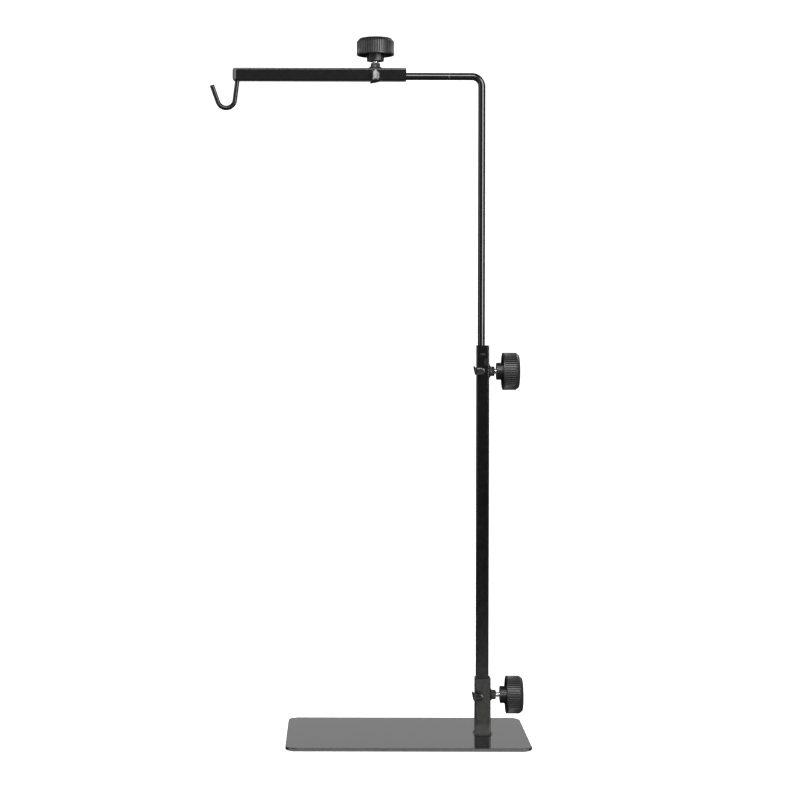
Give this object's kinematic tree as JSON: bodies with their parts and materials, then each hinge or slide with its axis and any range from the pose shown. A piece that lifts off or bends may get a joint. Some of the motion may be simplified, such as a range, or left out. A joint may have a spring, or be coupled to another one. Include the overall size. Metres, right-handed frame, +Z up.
{
  "type": "adjustable hanging stand",
  "caption": "Free-standing hanger: flat steel base, clamped square post, telescoping round rod bent into an arm, sliding square arm with a wire hook.",
  "frame": {"origin": "middle of the base's underside, on the surface that the stand rests on", "axes": "+Z up along the post; +X towards the side that the base and post knobs are on; the arm points to -X; the cord clips face -Y"},
  "size_m": [0.3056, 0.13, 0.6723],
  "materials": {
    "satin_black_paint": "satin black powder coat on steel tube",
    "gloss_black_paint": "smooth gloss black powder coat on steel plate",
    "gloss_black_rod": "gloss black enamel on round steel",
    "zinc_steel": "bright zinc plating",
    "knob_plastic": "moulded black plastic, semi-matte",
    "plug_plastic": "moulded dark grey plastic",
    "foam_rubber": "matt black foam rubber"
  },
  "bodies": {
    "base": {"base_plate": "gloss_black_paint", "anti_slip_sheet": "foam_rubber", "base_socket": "satin_black_paint", "socket_foot_weld": "satin_black_paint", "socket_weld_nut": "satin_black_paint", "socket_nut_weld": "satin_black_paint", "socket_cord_clip": "gloss_black_rod"},
    "socket_screw": {"socket_clamp_screw": "zinc_steel"},
    "socket_knob": {"socket_knob": "knob_plastic"},
    "post": {"post_tube": "satin_black_paint", "post_weld_nut": "satin_black_paint", "post_nut_weld": "satin_black_paint", "post_cord_clip": "gloss_black_rod"},
    "post_screw": {"post_clamp_screw": "zinc_steel"},
    "post_knob": {"post_knob": "knob_plastic"},
    "rod_upright": {"rod_stem": "gloss_black_rod"},
    "rod_bend": {"rod_elbow": "gloss_black_rod"},
    "rod_arm": {"rod_reach": "gloss_black_rod"},
    "arm": {"arm_tube": "satin_black_paint", "arm_weld_nut": "satin_black_paint", "arm_nut_weld": "satin_black_paint", "arm_cord_clip": "gloss_black_rod", "arm_end_plug": "plug_plastic", "hook": "gloss_black_rod"},
    "arm_screw": {"arm_clamp_screw": "zinc_steel"},
    "arm_knob": {"arm_knob": "knob_plastic"}
  },
  "joints": [
    {"name": "socket_screw_travel", "type": "slide", "parent": "base", "child": "socket_screw", "axis": [1, 0, 0], "range_m": [0, 0.00241]},
    {"name": "socket_knob_turn", "type": "hinge", "parent": "socket_screw", "child": "socket_knob", "pos_m": [0.0895, -0.004, 0.0415], "axis": [1, 0, 0], "range_deg": [0, 1080]},
    {"name": "post_lift", "type": "slide", "parent": "base", "child": "post", "axis": [0, 0, 1], "range_m": [0, 0.035]},
    {"name": "post_screw_travel", "type": "slide", "parent": "post", "child": "post_screw", "axis": [1, 0, 0], "range_m": [0, 0.00241]},
    {"name": "post_knob_turn", "type": "hinge", "parent": "post_screw", "child": "post_knob", "pos_m": [0.08555, -0.004, 0.3522], "axis": [1, 0, 0], "range_deg": [0, 1080]},
    {"name": "rod_height", "type": "slide", "parent": "post", "child": "rod_upright", "axis": [0, 0, 1], "range_m": [-0.244, 0.008]},
    {"name": "rod_swivel", "type": "hinge", "parent": "rod_upright", "child": "rod_bend", "pos_m": [0.071, -0.004, 0.6354], "axis": [0, 0, 1], "continuous": true},
    {"name": "arm_roll", "type": "hinge", "parent": "rod_bend", "child": "rod_arm", "pos_m": [0.051, -0.004, 0.6354], "axis": [1, 0, 0], "continuous": true},
    {"name": "arm_reach", "type": "slide", "parent": "rod_arm", "child": "arm", "axis": [1, 0, 0], "range_m": [-0.01, 0.062]},
    {"name": "arm_screw_travel", "type": "slide", "parent": "arm", "child": "arm_screw", "axis": [0, 0, 1], "range_m": [0, 0.00241]},
    {"name": "arm_knob_turn", "type": "hinge", "parent": "arm_screw", "child": "arm_knob", "pos_m": [-0.0314, -0.004, 0.64995], "axis": [0, 0, 1], "range_deg": [0, 1080]}
  ],
  "couplings": [
    {"joint": "socket_screw_travel", "follows": "socket_knob_turn", "m_per_rad": 0.00012732},
    {"joint": "post_screw_travel", "follows": "post_knob_turn", "m_per_rad": 0.00012732},
    {"joint": "arm_screw_travel", "follows": "arm_knob_turn", "m_per_rad": 0.00012732}
  ]
}
